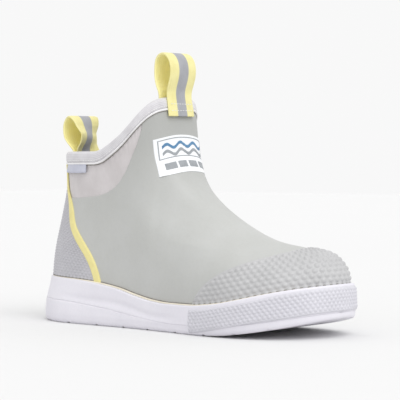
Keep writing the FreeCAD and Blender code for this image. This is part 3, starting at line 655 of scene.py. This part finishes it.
tangent = unit(np.gradient(stripe_path, axis=0))
across = np.linspace(-1, 1, 15)
taper = STRIPE_THIN + (1 - STRIPE_THIN) * step(0.27, 0.47, stripe_s / stripe_s[-1])
for label, side in (("outer", -1.0), ("inner", 1.0)):
    w = STRIPE_W / 2 * taper[:, None] * across[None, :]
    x = stripe_path[:, :1] - tangent[:, 1:] * w
    z = stripe_path[:, 1:] + tangent[:, :1] * w
    low_z, high_z = sole_top_z(x) - 0.4, collar_z(x) - BIND_H - PIPE_H + 0.5
    z = np.clip(z, low_z, high_z)
    tc = column_of(x, z, side)
    p, n = foot(tc, z), foot_normal(tc, z)
    edge_line = 0.18 * np.exp(-((np.abs(across) - 0.82) / 0.07) ** 2)
    raised = 1.15 * (1 - np.abs(across) ** 6)[None, :] + edge_line[None, :]
    uv = np.stack([np.broadcast_to(stripe_s[:, None], w.shape), w], -1)
    piece = shell("heel_stripe_" + label, p + n * (raised + 0.1)[..., None], p + n * -0.05, uv)
    finish(piece, YELLOW, "boot", ["heel_stripe_%s_side" % label])

# ---------------------------------------------------------------- collar binding, piping, stitches, welt
collar_t = np.arange(520) / 520.0
collar_h = crossing(collar_t, collar_z, 100, 200)
BINDING_PROFILE = [(-7.0, 0.25), (-6.6, 0.95), (-4.0, 1.1), (-0.6, 0.9), (1.2, -0.4), (1.5, -2.15),
                   (1.2, -3.9), (-0.6, -5.3), (-4.0, -5.4), (-7.4, -5.3), (-7.6, -4.4), (-6.0, -2.2),
                   (-6.9, 0.0)]
profile = rounded_profile(BINDING_PROFILE, 44)
binding = swept("binding_tape_ring", profile, collar_t, collar_h)
finish(binding, BINDING, "boot", ["collar_binding"])
PIPING_PROFILE = [(-8.7, -0.3), (-8.65, 0.9), (-8.3, 1.35), (-7.6, 1.4), (-7.0, 1.0), (-6.9, -0.3)]
piping = swept("piping_ring", rounded_profile(PIPING_PROFILE, 18), collar_t, collar_h)
finish(piping, PIPING, "boot", ["collar_piping"])
# painted shadow: a thin dark ring just under the piping stands in for the shade below the binding's edge
BINDING_SHADOW_PROFILE = [(-9.3, -0.3), (-9.3, 0.3), (-8.6, 0.5), (-8.5, -0.3)]
binding_shadow = swept("binding_painted_shadow_line", rounded_profile(BINDING_SHADOW_PROFILE, 12), collar_t, collar_h)
finish(binding_shadow, SHADOW_LINE, "boot")
WELT_PROFILE = [(-0.6, -0.6), (-0.5, 1.9), (-0.1, 2.3), (0.4, 2.1), (0.6, 1.3), (0.6, -0.6)]
bite_h = crossing(ring_t, sole_top_z, 14, 60)
bite_x = foot(ring_t, bite_h)[:, 0]
swell = 0.5 * step(34, 40, bite_x) - 1.3 * step(-55, -110, bite_x)
welt = swept("welt_line", rounded_profile(WELT_PROFILE, 16), ring_t, bite_h, swell)
finish(welt, CREAM, "boot", ["welt_cord"])
# painted shadow: a thin dark ring on the upper just above the welt stands in for the shade in the gap
# between the upper and the sole
BITE_SHADOW_PROFILE = [(0.4, -0.4), (0.4, 0.5), (0.8, 0.6), (1.25, 0.25), (1.3, -0.4)]
over_covers = 0.55 * step(34, 40, bite_x) + 0.35 * step(-66, -70, bite_x)
bite_shadow = swept("bite_painted_shadow_line", rounded_profile(BITE_SHADOW_PROFILE, 12), ring_t, bite_h, over_covers)
finish(bite_shadow, SHADOW_LINE, "boot")


def capsules(name, centres, directions, normals, length, radius):
    """short stitches lying on a face, joined in one mesh"""
    verts, faces, uvs = [], [], []
    rings = [(-1.0, 0.0), (-0.92, 0.6), (-0.7, 1.0), (0.0, 1.12), (0.7, 1.0), (0.92, 0.6), (1.0, 0.0)]
    for c, d, nn in zip(centres, directions, normals):
        side = np.cross(nn, d)
        base = len(verts)
        for along, r in rings:
            size = radius * max(r, 0.02)
            for k in range(8):
                a = 2 * math.pi * k / 8
                round_it = side * math.cos(a) * size + nn * math.sin(a) * size
                verts.append(c + d * along * length / 2 + round_it)
                uvs.append((along * length / 2, a * radius))
        faces += grid_faces(len(rings), 8, False, True, base)
        faces += [[base + k for k in range(8)][::-1], [base + 48 + k for k in range(8)]]
    return make(name, verts, faces, uvs)


def stitch_row(name, heights, line, outward, length=1.7, radius=0.17):
    t = (np.arange(116) + 0.5) / 116.0
    base = crossing(t, collar_z, 100, 200) + heights
    centre, normal = foot(t, base), foot_normal(t, base)
    ahead = foot(t + 0.002, crossing(t + 0.002, collar_z, 100, 200) + heights)
    piece = capsules(name, centre + normal * outward, unit(ahead - centre), normal, length, radius)
    return finish(piece, line, "boot")


stitch_row("binding_stitches", -5.6, THREAD, 1.02)

# ---------------------------------------------------------------- folded tag on the outer side
tag_u, tag_v = np.meshgrid(np.linspace(0, 1, 60), np.linspace(0, 1, 16), indexing="ij")
x = TAG_X + TAG_L * tag_u
top = collar_z(x) - BIND_H - PIPE_H + 0.9
z = top - TAG_H * tag_v - 0.35 * np.sin(np.pi * tag_u) * tag_v
tc = column_of(x, z, -1.0)
p, n = foot(tc, z), foot_normal(tc, z)
puff = 0.75 + 1.5 * tag_v ** 0.8 + 0.25 * np.sin(np.pi * tag_u * 3 + 0.6) * tag_v
puff = puff - 0.5 * step(0.86, 1.0, tag_v) - 0.5 * step(0.06, 0.0, tag_u)
puff = puff + 0.35 * step(0.85, 1.0, tag_u) * tag_v
gap = np.minimum(puff - 0.35, 0.2 + 0.5 * tag_v)
uv = np.stack([TAG_L * tag_u, TAG_H * tag_v], -1)
tag = shell("folded_tag", p + n * puff[..., None], p + n * gap[..., None], uv)
finish(tag, TAG, "boot", ["rear_tag"])


# ---------------------------------------------------------------- sole unit
def sole_out(t, z):
    """how far the sole's side stands out from the foot outline at a height"""
    base = foot(t, np.full(np.shape(t), FOOT_Z))
    x = base[..., 0]
    lift = z - under_z(x)
    low_part = np.interp(lift, [s[0] for s in SOLE_SIDE], [s[1] for s in SOLE_SIDE])
    z20 = under_z(x) + 20.0
    top_part = 6.1 + (z - z20) / (52.0 - z20) * (4.4 - 6.1)
    lean = np.interp(z, [s[0] for s in HEEL_LEAN], [s[1] for s in HEEL_LEAN]) * step(-55, -115, x)
    fold = 0.85 * np.exp(-((z - valley_z(x)) / 2.6) ** 2) * step(-118, -60, x) * step(32, 2, x)
    return np.where(lift < 20.0, low_part, top_part) - lean - fold - 0.9 * step(105, 135, x)


def sole(t, z, extra=0.0):
    base = foot(t, np.full(np.shape(t), FOOT_Z))
    n = foot_normal(t, np.full(np.shape(t), FOOT_Z)) * np.array([1, 1, 0])
    n = unit(n)
    p = base + n * (sole_out(t, z) + extra)[..., None]
    return np.stack([p[..., 0], p[..., 1], z + 0 * p[..., 0]], -1)


def notch_rise(x):
    """how far the notches and their channels lift the underside at x"""
    return sum(NOTCH_H * np.exp(-((x - c) / NOTCH_HALF) ** 4) for c in NOTCHES)


# midsole: side wall with a fine line at its foot, a rounded lip, and flat middles
LIP = [(-0.5, -0.12), (-0.15, -0.42), (0.05, -0.95), (0.05, -1.8), (-0.1, -2.8), (-0.5, -3.6), (-1.4, -4.3)]
EVEN = np.zeros(len(ring_t))
edge_p = sole(ring_t, EVEN + 20.0)
split_h, bite_edge = split_z(edge_p[:, 0]), sole_top_z(edge_p[:, 0])
wall = [(split_h + (bite_edge - 0.9 - split_h) * f, EVEN - 0.12 * math.exp(-(f / 0.03) ** 2))
        for f in np.linspace(0, 1, 22)]
wall += [(bite_edge + dz, EVEN + out) for dz, out in LIP]
rows, extras = np.array(wall).transpose(1, 2, 0)
tt = np.repeat(ring_t[:, None], rows.shape[1], 1)
p = sole(tt, rows, extras)
centre_low = np.stack([p[:, 0, 0], SHIFT_Y + swing(p[:, 0, 0]), rows[:, 0]], -1)
centre_top = np.stack([p[:, -1, 0], centre_low[:, 1], rows[:, -1]], -1)
ends = [c[:, None] * 0.9 + q * 0.1 for c, q in ((centre_low, p[:, :1]), (centre_top, p[:, -1:]))]
body = np.concatenate([ends[0], p, ends[1]], 1)
uv = np.stack([run_along(body), length_across(body)], -1).reshape(-1, 2)
midsole = capped("midsole_body", body, uv)
finish(midsole, SOLE, "boot", ["midsole"])

# outsole: side wall with small notches at its foot, and channels across the underside
ts = np.arange(720) / 720.0
px = sole(ts, np.full(len(ts), 20.0))[:, 0]
top_h = split_z(px) + 0.02
foot_h = under_z(px) + notch_rise(px)
FOOT_STEPS = np.array([0.0, 0.25, 0.6, 1.1, 1.8, 2.8])
low_rows = np.minimum(foot_h[:, None] + FOOT_STEPS, top_h[:, None] - 0.2)
left_over = (top_h - foot_h - FOOT_STEPS[-1]).clip(0.1)
rows = np.concatenate([low_rows, top_h[:, None] - left_over[:, None] * np.linspace(0.85, 0, 10)], 1)
wall = sole(np.repeat(ts[:, None], rows.shape[1], 1), rows, 0 * rows)
across = np.linspace(0.03, 0.5, 26)
mate = wall[(-np.arange(len(ts))) % len(ts), 0]
inner = wall[:, :1] + (mate[:, None] - wall[:, :1]) * across[::-1][None, :, None]
under = under_z(inner[..., 0])
wavy = inner[..., 0] + 1.6 * np.sin(inner[..., 1] / 4.2)
sipe = 0.5 * step(0.75, 0.95, np.cos(wavy * 2 * np.pi / 4.4)) * step(0.03, 0.12, across[::-1])[None, :]
inner[..., 2] = under + np.maximum(notch_rise(inner[..., 0]), sipe)
closing = wall[:, -1:] * 0.1 + 0.9 * np.stack([px, np.full(len(ts), SHIFT_Y), top_h], -1)[:, None]
body = np.concatenate([inner, wall, closing], 1)
uv = np.stack([run_along(body), length_across(body)], -1).reshape(-1, 2)
outsole = capped("outsole_body", body, uv, False)
finish(outsole, TREAD, "boot", ["outsole"])

# toe band with standing studs
ts = np.linspace(0.28, 0.72, 640)
px = sole(ts, np.full(len(ts), 20.0))[:, 0]
keep = px > BAND_X0
ts, px = ts[keep], px[keep]
lo = np.maximum(band_low_z(px), under_z(px) + 0.6)
hi = np.minimum(band_top_z(px), sole_top_z(px) - 1.1)
f = np.concatenate([[0, 0.012, 0.03, 0.06], np.linspace(0.09, 0.91, 52), [0.94, 0.97, 0.988, 1]])
z = lo[:, None] + (hi - lo)[:, None] * f
tt = np.repeat(ts[:, None], len(f), 1)
p0 = sole(tt, z)
u = run_along(p0)
v = z - lo[:, None]
total = (hi - lo)[:, None]
end = step(0.0, 1.6, np.minimum(u - u[:1], u[-1:] - u))
rim = rounded(v, total, 0.9)
relief = BAND_STUD_H * bumps(u, v - 0.6, *BAND_STUDS) * step(0.7, 1.6, np.minimum(v, total - v))
extra = (0.75 + rim + relief) * end + -0.6 * (1 - end)
band = shell("toe_band_skin", sole(tt, z, extra), sole(tt, z, np.full(z.shape, -1.0)), np.stack([u, v], -1))
finish(band, BAND, "boot", ["toe_foxing_band"])

# ---------------------------------------------------------------- lining and footbed
ts = np.arange(260) / 260.0
lo = crossing(ts, bite_z, 14, 60) + BOARD_T
hi = crossing(ts, collar_z, 100, 200) - 2.0
z, v = column_rows(ts, lo, hi, 70)
tt = np.repeat(ts[:, None], z.shape[1], 1)
p, n = foot(tt, z), foot_normal(tt, z)
u = run_along(p)
quilt = 0.12 * np.sin(u / 3.0 + 1.3 * np.sin(v / 9.0))
lining = shell("lining_wall", p - n * 1.85, p - n * (WALL + quilt)[..., None], np.stack([u, v], -1), True)
finish(lining, LINING, "boot", ["lining"])


def bed(name, low_up, high_up, crown, f, node, inset):
    """footbed layer: outline inside the lining, crowned top with a soft rounded rim"""
    t = np.arange(300) / 300.0
    base = crossing(t, bite_z, 14, 60)
    n = foot_normal(t, base + 4) * np.array([1, 1, 0])
    rim = foot(t, base + 4) - unit(n) * (WALL + BED_GAP + inset)
    mid_y = SHIFT_Y + swing(rim[:, 0])
    centre = np.stack([np.clip(rim[:, 0], -100, 100), mid_y, rim[:, 2]], -1)
    grid = []
    for share, height in ((0.985, 0), (1.0, -0.4), (0.997, -0.8), (0.985, -1.0)):
        grid.append((share, low_up - (low_up - high_up) * -height if height else low_up, 0))
    for share in np.linspace(0.96, 0.02, 26):
        grid.append((share, high_up, crown * (1 - share ** 2)))
    rows = []
    for share, up, lift in grid:
        q = centre + (rim - centre) * share
        q[:, 2] = bite_z(q[:, 0]) + up + lift
        rows.append(q)
    g = np.array(rows).transpose(1, 0, 2)
    piece = capped(name, g, g[..., :2].reshape(-1, 2))
    finish(piece, f, "insole", [node])
    return piece


bed("footbed_foam_layer", BOARD_T + 0.05, BOARD_T + FOOTBED_T, 0.0, FOAM, "footbed", 0.0)
bed("footbed_top_layer", BOARD_T + FOOTBED_T + 0.02, BOARD_T + FOOTBED_T + COVER_T, 0.5, BED_CLOTH,
    "footbed_cover", 0.3)


# ---------------------------------------------------------------- pull straps
def plan_curve(z, front):
    """how the collar's end curves away in plan, as a function of the distance from the middle"""
    t = np.linspace(0.4, 0.6, 200) if front else np.linspace(-0.1, 0.1, 200)
    q = foot(t, np.full(200, float(z)))
    order = np.argsort(q[:, 1])
    middle = q[:, 0].max() if front else q[:, 0].min()
    return lambda y: np.interp(y, q[order, 1], q[order, 0]) - middle


def strap(name, path, pivot, curve, widths, nodes, skew=None, inside=1):
    """webbing strap that follows a side view path; curve bends it in plan near its ends, fully up to 2 mm
    above the pivot and fading out by 16 mm above it; inside is the inner face"""
    c, s = path_2d(path, STRAP_STEPS)
    d = unit(np.gradient(c, axis=0))
    normal = np.stack([d[:, 1], -d[:, 0]], 1)
    w = np.linspace(-STRAP_HALF, STRAP_HALF, 61)
    height = c[:, 1] - pivot[1]
    bend = step(16.0, 2.0, height)
    neck = np.interp(height, *widths)
    rim = (1 - np.abs(w / STRAP_HALF) ** 14) ** 0.5
    ribs = 0.05 * np.sin(w * 2 * np.pi / 2.5)
    lean = np.interp(s / s[-1], *skew) if skew else 0 * s
    layers = []
    for sign in (1, -1):
        off = sign * STRAP_T / 2 * (0.35 + 0.65 * rim[None, :]) + sign * ribs[None, :]
        y = SHIFT_Y + w[None, :] * neck[:, None]
        x = c[:, :1] + normal[:, :1] * off + curve(y) * bend[:, None]
        x = x - lean[:, None] * w[None, :] / STRAP_HALF
        z = c[:, 1:] + normal[:, 1:] * off
        layers.append(np.stack([x, y + 0 * x, z], -1))
    uv = np.stack(np.broadcast_arrays(s[:, None], w[None, :] + STRAP_HALF), -1)
    piece = shell(name, layers[0], layers[1], uv)
    finish(piece, STRAP_FRONT, None, nodes)
    piece.data.materials.append(STRAP_BACK.material)
    face_size = (len(uv) - 1) * (uv.shape[1] - 1)
    back = np.zeros(len(piece.data.polygons), np.int32)
    back[inside * face_size:(inside + 1) * face_size] = 1
    piece.data.polygons.foreach_set("material_index", back)
    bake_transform(piece)
    return piece


NECK = [1, 0.97, 0.95, 0.98, 1.0]
top = np.array(FRONT_LOOP) + np.array(FRONT_PIVOT)
TAIL_OUT = 1.9
outer_tail = [(front_x(h) + TAIL_OUT, h) for h in (160.8, 164.0, 167.0, 170.0, 173.0)]
inner_tail = [(front_x(h) - WALL - 2.2, h) for h in (173.0, 170.0, 167.0, 164.0, 160.8)]
path = outer_tail + [tuple(q) for q in top[1:-1]] + inner_tail
strap("front_strap", path, FRONT_PIVOT, plan_curve(168, True), ([-12, -2, 5, 12, 36], NECK),
      ["front_pull_loop", "front_loop_stripe", "front_loop_outer_tail", "front_loop_inner_tail",
       "front_tail_stripe"])
rx, rz = REAR_PIVOT
top = np.array(REAR_LOOP) + np.array(REAR_PIVOT)
start = [(back_x(h) + WALL + 2.0, h) for h in (115.0, 119.0, 123.0, 127.0)]
start2 = [(back_x(h) + WALL + 4.2, h) for h in (127.0, 123.0, 119.0, 115.0)]
path = start + [(rx + 5.2, rz + 1.0)] + [tuple(q) for q in top] + [(rx + 7.4, rz + 1.0)] + start2
lean = ([0, 0.45, 0.52, 0.6, 0.66, 0.74, 0.82, 1], [0, 0, -1.0, 2.0, 6.0, 5.0, 0.5, 0])
strap("rear_strap", path, REAR_PIVOT, plan_curve(128, False), ([-16, -3, 4, 12, 36], NECK),
      ["rear_pull_loop", "rear_loop_stripe", "rear_loop_tail"], lean, 0)

# white stitches across the front strap's tail
centres, dirs, norms = [], [], []
curve = plan_curve(165, True)
for h in (FRONT_PIVOT[1] - 0.4, FRONT_PIVOT[1] - 5.4):
    for k in range(8):
        y = SHIFT_Y - 11.0 + 3.1 * k
        centres.append([front_x(h) + TAIL_OUT + 0.86 + curve(y), y, h])
        dirs.append([0, 1, 0])
        norms.append([1, 0, 0])
rows = [np.array(q, float) for q in (centres, dirs, norms)]
stitches = capsules("tail_stitch_rows", *rows, 2.0, 0.26)
finish(stitches, THREAD, "boot", ["tail_stitches"])

# ---------------------------------------------------------------- label, and CAD nodes that keep their shape
LABEL = rubber("label_film", linear(239, 241, 243), linear(233, 235, 238), 0.3, 14.0, 0.8, 0.01, 0.5, 0.1)
BLUE = rubber("mark_blue_print", linear(96, 140, 176), linear(74, 118, 156), 0.4, 6.0, 0.5, 0.01)
GREY = rubber("mark_grey_print", linear(158, 162, 166), linear(140, 144, 148), 0.4, 6.0, 0.5, 0.01)
BOARD = rubber("insole_fibre_board", linear(200, 182, 150), linear(176, 156, 122), 0.9, 12.0, 0.4, 0.1, 0.2)
STIFF = rubber("stiffener_sheet", linear(226, 223, 215), linear(212, 208, 198), 0.7, 12.0, 0.6, 0.05, 0.3)
SHANK = rubber("shank_nylon", linear(48, 48, 50), linear(34, 34, 36), 0.5, 12.0, 0.8, 0.03)


def on_shaft(name, node, f, rise=4.3, half=27.0):
    """a label node laid square to the leaning shaft: its middle stands higher than its two ends"""
    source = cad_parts[node]
    p = np.array([tuple(source.matrix_world @ q.co) for q in source.data.vertices]) / MM
    faces = [list(g.vertices) for g in source.data.polygons]
    t = np.linspace(0.36, 0.64, 561)
    heights = np.arange(p[:, 2].min() - 0.2, p[:, 2].max() + 0.5, 0.25)
    table = foot(np.broadcast_to(t, (len(heights), len(t))), heights[:, None])
    rows = np.round((p[:, 2] - heights[0]) / 0.25).astype(int)
    best = np.zeros(len(p))
    for i in range(0, len(p), 1500):
        near = table[rows[i:i + 1500]]
        j = np.argmin(np.sum((near - p[i:i + 1500, None]) ** 2, -1), 1).clip(1, len(t) - 2)
        k = np.arange(len(j))
        e = near[k, j + 1] - near[k, j - 1]
        share = np.sum((p[i:i + 1500] - near[k, j]) * e, -1) / np.sum(e * e, -1)
        best[i:i + 1500] = t[j] + (t[j + 1] - t[j - 1]) * share
    n = foot_normal(best, p[:, 2])
    off = np.sum((p - foot(best, p[:, 2])) * n, -1)
    a = p[:, 1] - SHIFT_Y
    z = p[:, 2] + rise * (1 - (a / half) ** 2)
    q = foot(best, z) + foot_normal(best, z) * off[:, None]
    piece = make(name, q, faces, np.stack([a, z], -1), False)
    return finish(piece, f, "boot", [node])


on_shaft("label_film_sheet", "front_label", LABEL)
on_shaft("label_mark_blue", "label_wave_upper", BLUE)
on_shaft("label_mark_grey", "label_wave_lower", GREY)
on_shaft("label_bar_row", "label_bars", GREY)
on_shaft("label_border", "label_frame", GREY)
for node, f in (("insole_board", BOARD), ("toe_puff", STIFF), ("heel_stiffener", STIFF), ("shank", SHANK)):
    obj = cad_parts[node]
    for s in obj.material_slots:
        s.material = f.material

# ---------------------------------------------------------------- floor, light and camera
FLOOR_HALF = 4000
corners = [(a * FLOOR_HALF, b * FLOOR_HALF, 0) for a, b in ((-1, -1), (1, -1), (1, 1), (-1, 1))]
floor = make("floor", corners, [[0, 1, 2, 3]])
paper = Finish("floor_paper", 0.9, 0.1)
paper.colour(paper.mix(paper.noise(400.0), (0.765, 0.765, 0.765, 1), (0.759, 0.759, 0.759, 1)))
floor.data.materials.append(paper.material)

scene = bpy.context.scene
world = bpy.data.worlds.new("studio")
world.use_nodes = True
world.node_tree.nodes["Background"].inputs[0].default_value = (1.0, 1.0, 1.0, 1)
world.node_tree.nodes["Background"].inputs[1].default_value = 0.94
scene.world = world
scene.view_settings.view_transform = "Standard"

AZ, EL = math.radians(39.7), math.radians(1.45)
CAMERA_DISTANCE, LENS = 1.3043, 153.738
forward = Vector((-math.sin(AZ) * math.cos(EL), math.cos(AZ) * math.cos(EL), -math.sin(EL)))
right = Vector((math.cos(AZ), math.sin(AZ), 0))
up = right.cross(forward)
target = right * 0.00617 + Vector((0, 0, 0.0969))


def soft_sun(name, side, height, depth, degrees, power):
    """a wide, soft sun placed by the camera's own right and forward directions"""
    data = bpy.data.lights.new(name, "SUN")
    data.angle, data.energy = math.radians(degrees), power
    obj = bpy.data.objects.new(name, data)
    obj.location = right * side - forward * depth + Vector((0, 0, height))
    obj.rotation_euler = (-obj.location).to_track_quat("-Z", "Y").to_euler()
    scene.collection.objects.link(obj)


soft_sun("key", 0.45, 1.0, 0.7, 45.0, 1.3)

camera_data = bpy.data.cameras.new("camera")
camera_data.lens, camera_data.sensor_width = LENS, 36
camera = bpy.data.objects.new("camera", camera_data)
camera.location = target - forward * CAMERA_DISTANCE
camera.rotation_euler = forward.to_track_quat("-Z", "Y").to_euler()
scene.collection.objects.link(camera)
scene.camera = camera
